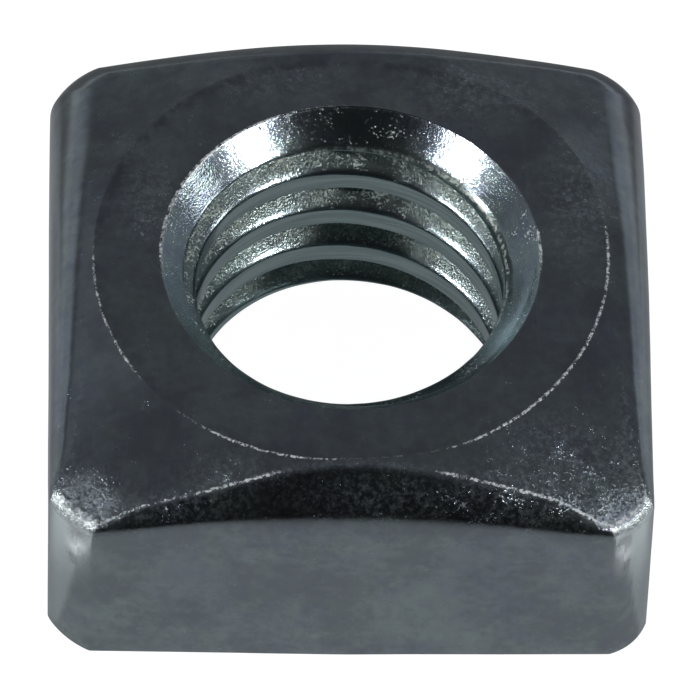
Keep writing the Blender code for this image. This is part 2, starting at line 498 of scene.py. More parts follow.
@dataclass
class ThreadedBore:
    """The countersinks and the thread, as one radius for each angle and height.

    The straight range is where the bore stops being straight, in minor radii. The lip and the lap
    have a height or depth, a width, a mean share, and the wavelength at which that share changes.
    """

    sizes: NutSizes
    outline: Outline
    rows: int = 222
    half_angle: float = math.radians(30.0)
    root_width: float = 0.00006
    flare: float = 0.00001
    base_slope: float = 1.6
    countersink_round: float = 0.00016
    crest_round: float = 0.00010
    straight_range: Range = (1.01, 1.06)
    lip_height: float = 0.000004
    lip_width: float = 0.00003
    lip_share: float = 0.5
    lip_wavelength: float = 0.0012
    lap_depth: float = 0.000012
    lap_width: float = 0.000016
    lap_place: float = 0.00007
    lap_share: float = 0.35
    lap_wavelength: float = 0.0025
    seed: int = 7

    def heights(self) -> Array:
        """The heights of the rows, from just below the crown to just above the bearing face."""
        return np.linspace(self.sizes.thickness, 0.0, self.rows + 2)[1:-1]

    def offset(self, height: Array) -> Array:
        """How far each point lies above the middle of the nearest groove, along the axis.

        The middle rises by one pitch for each turn to the left, so the thread is right-handed.

        Args:
            height: The heights of the rows, as a column.

        Returns:
            An array of rows by columns.
        """
        pitch = self.sizes.pitch
        raised = height - self.sizes.groove_start - pitch * self.outline.turn / FULL_TURN
        return (raised + pitch / 2) % pitch - pitch / 2

    def hole(self, height: Array) -> Array:
        """The radius of the hole before tapping: a straight wall that opens at both ends.

        Args:
            height: The heights of the rows, as a column.

        Returns:
            The radius at each height.
        """
        sizes = self.sizes
        wall = sizes.minor_radius + self.flare * (1 - height / sizes.thickness)
        crown = sizes.crown_countersink - (sizes.thickness - height) * sizes.countersink_slope
        base = sizes.base_countersink - height * self.base_slope
        opened = smooth_max(wall, crown, self.countersink_round)
        return smooth_max(opened, base, self.crest_round)

    def half_mouth(self, radius: Array) -> Array:
        """Half of the groove's width at a radius: the root's half, and the lean of one flank."""
        return self.root_width / 2 + (self.sizes.major_radius - radius) * math.tan(self.half_angle)

    def surface(self, height: Array) -> tuple[Array, Array, Array]:
        """The radius at every row and column, and where the crests and the groove are.

        The groove is a vee with a flat root, and it joins the hole with a small round. A fine lip
        stands along each side of the crest, and a lap runs along its lower part: both are bell
        curves across the thread, whose height changes slowly round the bore.

        Args:
            height: The heights of the rows, as a column.

        Returns:
            The radius, the share of crest, and the share of groove, each rows by columns.
        """
        sizes, turn = self.sizes, self.outline.turn
        hole = self.hole(height) + np.zeros(len(turn))
        above = self.offset(height)
        mouth = self.half_mouth(hole)
        past = np.abs(above) - mouth
        groove = np.minimum(hole - past / math.tan(self.half_angle), sizes.major_radius)
        radius = smooth_max(hole, groove, self.crest_round)
        start, end = self.straight_range
        straight = 1 - smooth_step(hole, sizes.minor_radius * start, sizes.minor_radius * end)
        ring = lift(self.outline.circle * sizes.major_radius, 0.0)
        spiral = ring[None] + np.stack([0 * above, 0 * above, height + 0 * above], axis=-1)
        fitful = np.clip(self.lip_share + swell(spiral, self.seed, self.lip_wavelength), 0, 1)
        radius = radius - self.lip_height * bell(past - self.lip_width, self.lip_width) * (
            straight * fitful
        )
        seen = np.clip(self.lap_share + swell(spiral, self.seed + 1, self.lap_wavelength), 0, 1)
        radius = radius + self.lap_depth * bell(above - mouth - self.lap_place, self.lap_width) * (
            straight * seen
        )
        crest = smooth_step(past, -self.crest_round / 2, self.crest_round) * straight
        return radius, crest, 1 - smooth_step(past, -self.crest_round, 0.0)


@dataclass(frozen=True)
class Band:
    """A line or band of wear, painted highlight or painted shade: its width, and how strong it is at
    angles in degrees round the nut.
    """

    width: float
    angles: tuple[float, ...]
    strengths: tuple[float, ...]


# Pale worn lines, whose strength round the nut also paints highlights where the lamps catch them
CROWN_LINE = Band(
    0.000028,
    (-180, -152, -140, -128, -118, -100, -88, -72, -58, -35, 5, 10, 30, 60, 90, 150, 168, 180),
    (0.9, 1.0, 0.30, 0.5, 1.3, 1.0, 0.4, 0.4, 1.2, 1.3, 1.2, 0.5, 0.25, 0.25, 0.0, 0.0, 0.1, 0.6),
)
SINK_LINE = Band(
    0.000028,
    (-180, -165, -140, -20, -6, 0, 9, 14, 60, 85, 105, 122, 180),
    (0.8, 0.3, 0.1, 0.1, 0.3, 1.3, 1.3, 0.15, 0.25, 0.3, 0.6, 1.4, 1.3),
)
CREASE_LINE = Band(
    0.000045,
    (-180, -150, -138, -134, -122, -108, -102, -78, -70, -58, -50, -42, -38, -20, 180),
    (0.0, 0.05, 0.2, 0.8, 0.7, 1.1, 0.0, 0.0, 0.8, 1.0, 1.3, 0.8, 0.25, 0.0, 0.0),
)
FOOT_LINE = Band(
    0.00004,
    (-180, -150, -60, -30, 0, 20, 45, 60, 90, 120, 150, 180),
    (0.5, 0.0, 0.0, 0.3, 0.7, 0.9, 0.8, 0.5, 0.3, 0.5, 0.7, 0.5),
)
HALO = Band(
    0.00010,
    (-180, -142, -135, -122, -75, -60, -46, -38, -20, 180),
    (0.0, 0.3, 1.1, 0.5, 0.3, 0.9, 1.6, 0.7, 0.0, 0.0),
)
# Painted shade just inside the crown's edge, by angle round the nut
PAINTED_EDGE_SHADE = Band(
    0.00010,
    (-180, -150, -120, -90, -60, 0, 40, 60, 75, 100, 165, 180),
    (0.3, 0.1, 0.3, 0.5, 0.3, 0.3, 0.3, 0.9, 1.0, 0.9, 1.2, 0.9),
)
# The turn from the flats at which the painted sheen on the corner facets starts, by the share of the
# nut's height
FACET_NARROWING: Line = ((0.0, 0.25, 0.46, 0.61, 0.77), (0.95, 0.79, 0.70, 0.647, 0.36))


@dataclass(frozen=True)
class Spot:
    """A marked place: its middle and its size along each axis in millimetres, and its strength."""

    middle: Place
    size: Place
    strength: float = 1.0


# The speckled patches: the front right of the cone, the rolled edge before it and the crown
SCUFFS: tuple[Spot, ...] = (
    Spot((3.4, -3.8, 4.0), (1.0, 0.7, 0.6), 0.62),
    Spot((2.8, -4.4, 3.9), (1.8, 0.4, 0.4), 0.9),
    Spot((4.0, -4.5, 3.8), (0.8, 0.4, 0.4), 1.0),
    Spot((0.6, -4.6, 4.0), (1.6, 0.4, 0.4), 0.5),
    Spot((-2.0, -4.3, 4.1), (0.9, 0.4, 0.5), 0.45),
    Spot((-4.2, -4.6, 3.8), (0.5, 0.3, 0.4), 0.9),
    Spot((4.5, -4.0, 3.8), (0.3, 1.0, 0.4), 0.75),
    Spot((3.4, -4.7, 3.8), (2.0, 0.3, 0.5), 0.55),
    Spot((-3.2, -4.7, 3.8), (1.8, 0.3, 0.5), 0.45),
    Spot((2.2, 3.6, 4.4), (1.2, 0.6, 0.5), 0.45),
    Spot((3.8, 1.2, 4.4), (0.6, 1.2, 0.5), 0.45),
    Spot((-3.4, 1.2, 4.4), (0.6, 1.0, 0.5), 0.35),
    Spot((-1.2, 3.7, 4.4), (1.2, 0.4, 0.5), 0.3),
)
# Small dents that glint: on the corner facets and at their upper ends, tilted by the bump and laid
# in a pale painted glint
DENTS_AND_PAINTED_GLINTS: tuple[Spot, ...] = (
    Spot((-4.54, -4.83, 2.82), (0.23, 0.23, 0.46)),
    Spot((-4.53, -4.73, 2.25), (0.09, 0.09, 0.40), 0.5),
    Spot((-4.70, -4.55, 3.65), (0.10, 0.10, 0.07)),
    Spot((-4.44, -4.80, 3.68), (0.10, 0.10, 0.07)),
    Spot((4.49, -4.89, 2.84), (0.16, 0.16, 0.46)),
    Spot((4.56, -4.79, 2.30), (0.09, 0.09, 0.40), 0.3),
    Spot((4.40, -4.90, 3.78), (0.12, 0.10, 0.07)),
    Spot((4.70, -4.62, 3.74), (0.12, 0.10, 0.07)),
)
# The rolled edges at the front corners, which knocks have dented, with painted shade in gaps among
# the dents
BATTERED: tuple[Spot, ...] = (
    Spot((-4.6, -4.6, 3.7), (0.7, 0.6, 0.4)),
    Spot((4.7, -4.7, 3.8), (0.7, 0.6, 0.4)),
)
# Where the countersink is bluer, and laid brighter as painted light from the opposite wall
BLUE_TINT_AND_PAINTED_LIGHT: tuple[Spot, ...] = (
    Spot((2.50, -1.40, 4.2), (0.5, 0.6, 0.5)),
    Spot((-2.65, -0.90, 4.2), (0.5, 0.8, 0.5), 0.4),
)


def spotted(points: Array, spots: tuple[Spot, ...]) -> Array:
    """The strongest of several bell-shaped spots at each point.

    Args:
        points: Places, with the coordinates along the last axis.
        spots: The spots.

    Returns:
        A share between 0 and 1 for each place.
    """
    total = np.zeros(points.shape[:-1])
    for spot in spots:
        off = (points / MILLIMETRE - np.array(spot.middle)) / np.array(spot.size)
        total = np.maximum(total, spot.strength * np.exp(-(off**2).sum(axis=-1)))
    return total


@dataclass
class WearAndPaintedLight:
    """The masks that the finishes read, worked out on the smooth grid of the whole nut."""

    sizes: NutSizes
    outline: Outline
    points: Array
    zones: Array
    line_heights: Range = (0.00418, 0.00438)
    foot_rise: float = 0.00003
    foot_radii: Range = (0.0027, 0.0028)
    painted_edge_shade_inset: float = 0.00007
    painted_edge_shade_heights: Range = (0.0040, 0.0042)
    facet_soft: float = 0.04
    facet_ends: Range = (0.22, 0.34)
    facet_back: Range = (0.0, 0.001)
    facet_back_loss: float = 0.75
    facet_heights: Range = (0.3, 0.7)
    facet_low: float = 0.7
    away: Array = field(init=False)
    angle: Array = field(init=False)
    crease: Array = field(init=False)

    def __post_init__(self) -> None:
        """Finds each point's distance and angle round the axis, and its distance to the crease.

        The crease is where the point's own column meets the cone.
        """
        self.away = np.linalg.norm(self.points[..., :2], axis=-1)
        self.angle = np.degrees(np.arctan2(self.points[..., 1], self.points[..., 0]))
        landing = self.outline.landing
        crease = lift(landing, self.sizes.cone_height(landing))
        self.crease = np.linalg.norm(self.points - crease, axis=-1)

    def across(self, band: Band, distance: Array) -> Array:
        """A band's bell curve at each point's distance from its middle, times its strength there."""
        return bell(distance, band.width) * np.interp(self.angle, band.angles, band.strengths)

    def in_zones(self, *zones: Zone) -> Array:
        """A column that says which rows are in one of the zones."""
        return np.isin(self.zones, [zone.value for zone in zones])[:, None]

    def rims(self) -> Array:
        """The worn lines, which are partly painted highlights: the crown circle, the countersink's
        rim and foot, and the crease.

        Returns:
            The strength of the strongest line at each point.
        """
        sizes, height = self.sizes, self.points[..., 2]
        high = smooth_step(height, *self.line_heights)
        depth = (sizes.crown_countersink - sizes.minor_radius) / sizes.countersink_slope
        above = height - sizes.thickness + depth - self.foot_rise
        lines = (
            self.across(CROWN_LINE, self.away - self.outline.crown_radii) * high,
            self.across(SINK_LINE, self.away - sizes.crown_countersink) * high,
            self.across(FOOT_LINE, above) * (1 - smooth_step(self.away, *self.foot_radii)),
            self.across(CREASE_LINE, self.crease),
        )
        return np.max(lines, axis=0)

    def scuffs(self) -> Array:
        """The speckled patches, and a halo of specks along the front crease."""
        return np.maximum(spotted(self.points, SCUFFS), self.across(HALO, self.crease))

    def painted_edge_shade_band(self) -> Array:
        """A wide band of painted shade just inside the crown's edge, uneven in strength."""
        inside = self.away - self.outline.crown_radii + self.painted_edge_shade_inset
        return self.across(PAINTED_EDGE_SHADE, inside) * smooth_step(self.points[..., 2], *self.painted_edge_shade_heights)

    def facets(self) -> Array:
        """The painted sheen on the corner facets, paler than the flats, by how far the plan has
        turned away from the flats.

        They draw back from the front and back flats towards the base, and the painted sheen is
        weaker there and behind.

        Returns:
            A share between 0 and 1 for each point.
        """
        turned = np.abs(self.outline.facing % math.pi - math.pi / 2)
        share = self.points[..., 2] / self.sizes.thickness
        start = np.interp(share, *FACET_NARROWING)
        mask = smooth_step(turned - start, -self.facet_soft, self.facet_soft)
        mask *= smooth_step(math.pi / 2 - turned, *self.facet_ends)
        front = self.points[..., 1] < 0.0
        mask *= self.in_zones(Zone.WALL) | (self.in_zones(Zone.ROLL) & front)
        mask *= 1 - self.facet_back_loss * smooth_step(self.points[..., 1], *self.facet_back)
        low = self.facet_low
        return mask * (low + (1 - low) * smooth_step(share, *self.facet_heights))

    def masks(self) -> dict[str, Array]:
        """Every mask by the name that the finishes read it by."""
        return {
            "rim": self.rims(),
            "painted_edge_shade": self.painted_edge_shade_band(),
            "facet": self.facets(),
            "scuff": self.scuffs(),
            # Small dents, which the finish also lays in a pale painted glint
            "dent_and_painted_glint": spotted(self.points, DENTS_AND_PAINTED_GLINTS),
            "batter": spotted(self.points, BATTERED) * self.in_zones(Zone.ROLL, Zone.CONE),
            "blue_tint_and_painted_light": spotted(self.points, BLUE_TINT_AND_PAINTED_LIGHT),
        }


@dataclass(frozen=True)
class Unrest:
    """Unevenness of the surface: swells, of which the part below the calm height is sunk."""

    wavelength: float
    rise: float
    calm: float = 1.3

    def depth(self, points: Array, seed: int) -> Array:
        """How far each point sinks, as a number of 0 or less."""
        return np.minimum(swell(points, seed, self.wavelength) - self.calm, 0.0) * self.rise


@dataclass
class SquareNut:
    """The whole nut: one closed grid, its masks and its two finishes."""

    sizes: NutSizes = field(default_factory=NutSizes)
    name: str = "square_nut_body"
    seed: int = 41
    dent_seed: int = 50
    outside: tuple[Unrest, ...] = (Unrest(0.0028, 0.0000045), Unrest(0.0008, 0.0000008))
    inside: tuple[Unrest, ...] = (Unrest(0.0013, 0.000005), Unrest(0.0004, 0.000002))
    dents: Unrest = Unrest(0.00034, 0.000012, 0.3)

    def grid(self) -> tuple[Array, Array, dict[str, Array]]:
        """Every row of the surface in order.

        Returns:
            The points (rows, columns, 3), the zone of each row, and the named masks.
        """
        outline = Outline(self.sizes)
        shell = Shell(self.sizes, outline)
        bore = ThreadedBore(self.sizes, outline)
        height = bore.heights()[:, None]
        radius, crest, groove = bore.surface(height)
        circle = outline.circle
        flat_rows = [radius * circle[:, 0], radius * circle[:, 1], height + 0 * radius]
        parts = {
            Zone.BASE: shell.base(),
            Zone.WALL: shell.wall(),
            Zone.ROLL: shell.rolled_edge(),
            Zone.CONE: shell.cone(),
            Zone.CROWN: shell.crown(),
            Zone.BORE: np.stack(flat_rows, axis=-1),
        }
        points = np.concatenate([np.stack(list(rows)) for rows in parts.values()])
        zones = np.repeat([zone.value for zone in parts], [len(rows) for rows in parts.values()])
        blank = np.zeros((len(points) - len(crest), len(circle)))
        masks = {
            "crest": np.concatenate([blank, crest]),
            "groove": np.concatenate([blank, groove]),
            **WearAndPaintedLight(self.sizes, outline, points, zones).masks(),
        }
        return points, zones, masks

    def worn(self, points: Array, zones: Array) -> Array:
        """Moves the surface in along its normals by seeded swells.

        Where the thread runs out, this takes its flanks past the faces by up to 0.01 mm.

        Args:
            points: The smooth grid.
            zones: The zone of each row.

        Returns:
            The uneven grid.
        """
        along = np.roll(points, -1, axis=1) - np.roll(points, 1, axis=1)
        across = np.roll(points, -1, axis=0) - np.roll(points, 1, axis=0)
        normals = np.cross(along, across)
        normals /= np.maximum(np.linalg.norm(normals, axis=-1, keepdims=True), 1e-12)
        away = np.linalg.norm(points[..., :2], axis=-1)
        deep = 1 - smooth_step(away, self.sizes.minor_radius, self.sizes.crown_countersink)
        deep *= zones[:, None] == Zone.BORE.value
        sunk = self.dents.depth(points, self.dent_seed) * spotted(points, BATTERED)
        for share, layers in ((1 - deep, self.outside), (deep, self.inside)):
            for number, layer in enumerate(layers):
                sunk += layer.depth(points, self.seed + number) * share
        return points + normals * sunk[..., None]

    def faces(self, points: Array) -> Array:
        """The four-sided faces between neighbours, closed both ways and facing outwards.

        They face outwards where the sum of their corners' triple products is positive.

        Args:
            points: The grid.

        Returns:
            Four point numbers for each face.
        """
        index = np.arange(points.shape[0] * points.shape[1]).reshape(points.shape[:2])
        right = np.roll(index, -1, axis=1)
        above = np.roll(index, -1, axis=0)
        faces = np.stack([index, right, np.roll(above, -1, axis=1), above], axis=-1).reshape(-1, 4)
        corners = points.reshape(-1, 3)[faces]
        sides = np.cross(corners[:, 1] - corners[:, 0], corners[:, 2] - corners[:, 0])
        return faces if (sides * corners.mean(axis=1)).sum() >= 0 else faces[:, ::-1]

    def build(self) -> bpy.types.Object:
        """Makes the mesh from the grid, and gives it its masks and finishes.

        Returns:
            The piece.
        """
        points, zones, masks = self.grid()
        points = self.worn(points, zones)
        faces = self.faces(points)
        mesh = bpy.data.meshes.new(self.name)
        mesh.from_pydata(points.reshape(-1, 3).tolist(), [], faces.tolist())
        for name, mask in masks.items():
            layer = mesh.attributes.new(name, "FLOAT", "POINT")
            layer.data.foreach_set("value", mask.astype(np.float32).ravel())
        mesh.materials.append(OutsideZinc().material())
        mesh.materials.append(BoreZinc().material())
        owner = np.repeat((zones == Zone.BORE.value).astype(np.int32), points.shape[1])
        mesh.polygons.foreach_set("material_index", owner)
        mesh.polygons.foreach_set("use_smooth", np.ones(len(faces), dtype=bool))
        mesh.update()
        mesh.validate()
        piece = placed(self.name, mesh)
        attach(piece, "root")
        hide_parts("square_nut")
        return piece


@dataclass
class Tree:
    """A node tree with short ways to add and join nodes."""

    tree: bpy.types.NodeTree

    def add(self, kind: str, **settings: Value) -> Node:
        """Adds a node.

        Args:
            kind: The node's Blender type.
            settings: Its properties.

        Returns:
            The node.
        """
        node = self.tree.nodes.new(kind)
        for key, value in settings.items():
            setattr(node, key, value)
        return node

    def feed(self, socket: Socket, value: Value) -> None:
        """Joins an input to another node's output, or sets its value.

        Args:
            socket: The input.
            value: What it takes.
        """
        if isinstance(value, Socket):
            self.tree.links.new(value, socket)
        else:
            socket.default_value = value

    def feed_all(self, node: Node, **values: Value) -> Socket:
        """Feeds a node's inputs by name, with an underscore for a space, and gives its output."""
        for key, value in values.items():
            self.feed(node.inputs[key.replace("_", " ")], value)
        return node.outputs[0]

    def math(self, operation: str, *values: Value, clamp: bool = False) -> Socket:
        """Adds a Math node.

        Args:
            operation: What it does.
            values: Its inputs in order.
            clamp: Whether the result is kept between 0 and 1.

        Returns:
            The result.
        """
        node = self.add("ShaderNodeMath", operation=operation, use_clamp=clamp)
        for socket, value in zip(node.inputs, values, strict=False):
            self.feed(socket, value)
        return node.outputs[0]

    def times(self, first: Value, *others: Value) -> Socket:
        """The product of two or more values."""
        for other in others:
            first = self.math("MULTIPLY", first, other)
        return first

    def total(self, start: Value, *terms: tuple[Value, Value], clamp: bool = False) -> Socket:
        """A start and weighted values, added up in order.

        Args:
            start: What the rest is added to.
            terms: Each term's weight and value.
            clamp: Whether the sum is kept between 0 and 1.

        Returns:
            The sum.
        """
        for weight, value in terms:
            start = self.math("MULTIPLY_ADD", value, weight, start)
        start.node.use_clamp = clamp
        return start

    def layers(self, colour: Value, *coats: tuple[Value, Value]) -> Socket:
        """A colour with others laid over it in order.

        Args:
            colour: The lowest colour.
            coats: How much each coat covers, and its colour.

        Returns:
            The colour that shows.
        """
        for share, coat in coats:
            node = self.add("ShaderNodeMix", data_type="RGBA")
            self.feed(node.inputs[0], share)
            for socket, value in ((node.inputs[6], colour), (node.inputs[7], coat)):
                self.feed(socket, (*value, 1.0) if isinstance(value, tuple) else value)
            colour = node.outputs[2]
        return colour

    def ramp(
        self, value: Value, start: Value, end: Value, low: float = 0.0, high: float = 1.0
    ) -> Socket:
        """Eases the result from low to high as a value goes from start to end."""
        node = self.add("ShaderNodeMapRange", interpolation_type="SMOOTHSTEP")
        return self.feed_all(
            node, Value=value, From_Min=start, From_Max=end, To_Min=low, To_Max=high
        )

    def noise(self, place: Value, scale: Value, detail: Value, rough: Value) -> Socket:
        """A noise texture's value at a place, which is a number round 0.5."""
        node = self.add("ShaderNodeTexNoise")
        return self.feed_all(node, Vector=place, Scale=scale, Detail=detail, Roughness=rough)

    def mask(self, name: str) -> Socket:
        """One of the mesh's own masks."""
        return self.add("ShaderNodeAttribute", attribute_name=name).outputs["Fac"]

    def mapped(self, place: Value, scale: Place, turn: Place = (0.0, 0.0, 0.0)) -> Socket:
        """Coordinates that are scaled by axis, and then turned."""
        node = self.add("ShaderNodeMapping")
        return self.feed_all(node, Vector=place, Scale=scale, Rotation=turn)

    def place(self) -> Socket:
        """Object coordinates in millimetres."""
        where = self.add("ShaderNodeTexCoord").outputs["Object"]
        return self.mapped(where, (1 / MILLIMETRE,) * 3)

    def axes(self, place: Value) -> tuple[Socket, Socket, Socket]:
        """The three coordinates of a place, each by itself."""
        node = self.add("ShaderNodeSeparateXYZ")
        self.feed(node.inputs[0], place)
        return tuple(node.outputs)

    def dress(
        self, shader: Node, colour: Value, metal: Value, rough: Value, relief: Value
    ) -> None:
        """Feeds a Principled shader, with the relief as a bump.

        Args:
            shader: The shader.
            colour: Its base colour.
            metal: How metallic it is.
            rough: Its roughness.
            relief: The surface's height, in hundredths of a millimetre.
        """
        bump = self.add("ShaderNodeBump")
        normal = self.feed_all(bump, Strength=1.0, Distance=0.01 * MILLIMETRE, Height=relief)
        self.feed_all(shader, Base_Color=colour, Metallic=metal, Roughness=rough, Normal=normal)


def clouds(tree: Tree, given: Value) -> Socket:
    """Slow changes of tone: coarse noise with some finer noise over it, spread over 0 to 1.

    Args:
        tree: The group's tree.
        given: The group's inputs by name.

    Returns:
        The tone.
    """
    place = tree.place()
    coarse = tree.noise(place, given["Scale"], 3.0, 0.55)
    fine = tree.noise(place, given["Fine Scale"], 4.0, 0.6)
    centred = tree.total(-0.5, (0.55, coarse), (0.45, fine))
    return tree.total(0.5, (tree.times(given["Contrast"], 3.6), centred), clamp=True)


def grain(tree: Tree, given: Value) -> Socket:
    """The surface's relief: soft waves, a grain and a fine tooth, which are noises, added up.

    Args:
        tree: The group's tree.
        given: The group's inputs by name.

    Returns:
        The height.
    """
    place, scale = tree.place(), given["Scale"]
    soft = tree.noise(place, tree.times(scale, 0.22), 2.0, 0.5)
    coarse = tree.noise(place, scale, 2.0, 0.55)
    fine = tree.noise(place, tree.times(scale, 2.7), 2.0, 0.6)
    waves = tree.times(soft, given["Soft"])
    return tree.total(waves, (given["Coarse"], coarse), (given["Fine"], fine))


def specks(tree: Tree, given: Value) -> Socket:
    """Ragged little specks in clusters: the peaks of a fine noise, raised where a wider one is.

    Args:
        tree: The group's tree.
        given: The group's inputs by name.

    Returns:
        The share of speck.
    """
    place = tree.place()
    fine = tree.noise(place, given["Scale"], 3.0, 0.65)
    patches = tree.math("SUBTRACT", tree.noise(place, 2.2, 3.0, 0.6), 0.5)
    return tree.ramp(tree.total(fine, (0.6, patches), (0.36, given["Density"])), 0.77, 0.97)


def beads(tree: Tree, given: Value) -> Socket:
    """Grainy breaks in a worn place: the upper part of a rough noise."""
    rough = tree.noise(tree.place(), given["Scale"], given["Detail"], given["Roughness"])
    return tree.ramp(rough, given["Low"], 0.62)


@dataclass(frozen=True)
class EffectPlan:
    """How an effect's node group is made: its name, its inputs, and what is worked out of them."""

    name: str
    inputs: tuple[str, ...]
    work_out: Callable[[Tree, Value], Socket]

    def build(self) -> bpy.types.NodeTree:
        """Makes the group.

        Returns:
            The group.
        """
        group = bpy.data.node_groups.new(self.name, "ShaderNodeTree")
        for label in self.inputs:
            group.interface.new_socket(label, in_out="INPUT", socket_type="NodeSocketFloat")
        group.interface.new_socket("Value", in_out="OUTPUT", socket_type="NodeSocketFloat")
        tree = Tree(group)
        given = tree.add("NodeGroupInput").outputs
        tree.feed(tree.add("NodeGroupOutput").inputs[0], self.work_out(tree, given))
        return group


class Effect(Enum):
    """The effects that both finishes are made of, one node group each."""

    CLOUDS = EffectPlan("plating_clouds", ("Scale", "Fine Scale", "Contrast"), clouds)
    GRAIN = EffectPlan("plating_grain", ("Scale", "Soft", "Coarse", "Fine"), grain)
    SPECKS = EffectPlan("plating_specks", ("Scale", "Density"), specks)
    BEADS = EffectPlan("plating_beads", ("Scale", "Detail", "Roughness", "Low"), beads)


def effect(tree: Tree, kind: Effect, **values: Value) -> Socket:
    """One of the effects with this material's own values, named with underscores for spaces."""
    group = bpy.data.node_groups.get(kind.value.name) or kind.value.build()
    return tree.feed_all(tree.add("ShaderNodeGroup", node_tree=group), **values)


def blank_material(name: str) -> tuple[bpy.types.Material, Tree, Node]:
    """A material with its Principled shader, ready for its inputs.

    Args:
        name: The material's name.

    Returns:
        The material, its tree and its shader.
    """
    material = bpy.data.materials.new(name)
    material.use_nodes = True
    return material, Tree(material.node_tree), material.node_tree.nodes["Principled BSDF"]


@dataclass(frozen=True)
class OutsideZinc:
    """The plated outside: smooth blue-grey zinc with clouds, specks, fine marks and pale worn lines,
    and painted light and shade: painted glints on the lines and small dents, a painted sheen on the
    corner facets, and painted shade inside the crown's edge and among the front corners' dents.

    The dent height, in millimetres, and the dent slope tilt the dented places towards the lamps.
    The relief is how deep the bumps are, in hundredths of a millimetre. The strokes are the scale
    and the turn of each set of handling marks.
    """

    violet: Colour = (0.340, 0.375, 0.440)
    green: Colour = (0.400, 0.470, 0.465)
    shade: Colour = (0.22, 0.24, 0.26)
    # A pale colour for worn handling marks, and for the painted sheen on the corner facets
    rubbed_and_painted_sheen: Colour = (0.70, 0.77, 0.77)
    speck: Colour = (0.60, 0.69, 0.82)
    # The pale colour of the worn lines and small dents, partly a painted glint
    bare_and_painted_glint: Colour = (0.91, 0.95, 0.97)
    # Near-black painted shade for gaps among the dents at the front corners
    painted_gap_shade: Colour = (0.05, 0.06, 0.07)
    dent_height: float = 2.82
    dent_slope: float = -55.0
    roughness: float = 0.12
    relief: float = 0.9
    strokes: tuple[tuple[Place, Place], ...] = (
        ((14.0, 0.9, 4.0), (0.2, 0.1, 0.6)),
        ((0.8, 16.0, 4.0), (0.0, 0.3, 0.35)),
    )

    def handling_lines(self, tree: Tree, place: Socket) -> Socket:
        """Fine handling marks: noise drawn out along each stroke, of which only peaks are kept.

        Args:
            tree: The material's tree.
            place: The coordinates.

        Returns:
            The share of line.
        """
        lines = 0.0
        for scale, turn in self.strokes:
            drawn = tree.noise(tree.mapped(place, scale, turn), 1.0, 1.0, 0.5)
            lines = tree.math("ADD", lines, tree.ramp(drawn, 0.66, 0.74))
        return tree.times(lines, 0.12)

    def material(self) -> bpy.types.Material:
        """Builds the material.

        Returns:
            The material.
        """
        material, tree, shader = blank_material("zinc_plate")
        place = tree.place()
        scuff, dent_and_painted_glint, batter = (tree.mask(name) for name in ("scuff", "dent_and_painted_glint", "batter"))
        # The plating's own pattern, and the painted shade inside the crown's edge
        clouds = effect(tree, Effect.CLOUDS, Scale=0.6, Fine_Scale=2.4, Contrast=1.15)
        blotches = effect(tree, Effect.CLOUDS, Scale=1.1, Fine_Scale=5.0, Contrast=1.9)
        pits = effect(tree, Effect.SPECKS, Scale=8.0, Density=0.34)
        lines = self.handling_lines(tree, place)
        painted_edge_shade = tree.times(tree.mask("painted_edge_shade"), tree.total(0.88, (-0.8, blotches)))
        # What scuffing adds
        specks = effect(tree, Effect.SPECKS, Scale=20.0, Density=tree.total(0.24, (0.54, scuff)))
        smudges = effect(tree, Effect.SPECKS, Scale=6.0, Density=tree.total(0.45, (0.45, scuff)))
        haze = tree.times(tree.ramp(tree.noise(place, 11.0, 5.0, 0.75), 0.42, 0.68), scuff)
        # The worn lines, broken by a rough noise, partly painted highlights; and the battered edges,
        # with painted shade in gaps among their dents
        ragged = tree.noise(place, 13.0, 4.0, 0.75)
        uneven = tree.total(-1.72, (4.6, ragged))
        line = tree.times(tree.math("MINIMUM", tree.mask("rim"), 1.0), uneven)
        line = tree.ramp(line, 0.16, 0.92)
        beads = effect(tree, Effect.BEADS, Scale=13.0, Detail=4.0, Roughness=0.75, Low=0.40)
        painted_gaps = tree.times(batter, tree.total(1.0, (-1.0, beads)))
        patchy = tree.times(batter, tree.total(0.4, (0.6, beads)))
        beaten = tree.math("MAXIMUM", tree.times(dent_and_painted_glint, 0.3), patchy)
        colour = tree.layers(
            self.violet,
            (clouds, self.green),
            (tree.total(0.42, (-0.42, blotches)), self.shade),
            # Painted light: the corner facets are laid paler than the flats, as a painted sheen
            (tree.mask("facet"), self.rubbed_and_painted_sheen),
            (tree.times(lines, 0.5), self.rubbed_and_painted_sheen),
            (tree.times(smudges, tree.total(0.10, (0.25, scuff))), self.speck),
            (tree.times(haze, 0.55), self.speck),
            (tree.times(pits, 0.6), self.shade),
            # Painted shade: the band just inside the crown's edge is laid darker
            (painted_edge_shade, self.shade),
            (tree.times(specks, 0.45), self.speck),
            # Painted shade: near-black patches among the dents break up the highlight on the
            # battered corners
            (painted_gaps, self.painted_gap_shade),
            # Painted highlights: the worn lines and the small dents are laid in a pale colour that
            # reads as a glint
            (tree.math("MAXIMUM", line, dent_and_painted_glint), self.bare_and_painted_glint),
        )
        metal = tree.total(1.0, (-0.7, line), (-0.34, haze), (-0.16, specks), clamp=True)
        rough = tree.total(
            self.roughness,
            (0.05, clouds),
            (0.30, specks),
            (0.38, line),
            (0.34, dent_and_painted_glint),
            (0.22, batter),
            clamp=True,
        )
        worn = tree.times(tree.math("ADD", scuff, line), 0.5)
        tilt = tree.times(tree.math("POWER", dent_and_painted_glint, 2.0), self.dent_slope)
        height = tree.total(
            effect(tree, Effect.GRAIN, Scale=7.0, Soft=0.8, Coarse=0.12, Fine=0.05),
            (-0.3, specks),
            (-0.12, lines),
            (tree.total(worn, (2.6, beaten)), tree.noise(place, 18.0, 2.0, 0.6)),
            (tilt, tree.math("SUBTRACT", tree.axes(place)[2], self.dent_height)),
        )
        tree.dress(shader, colour, metal, rough, tree.times(height, self.relief))
        return material


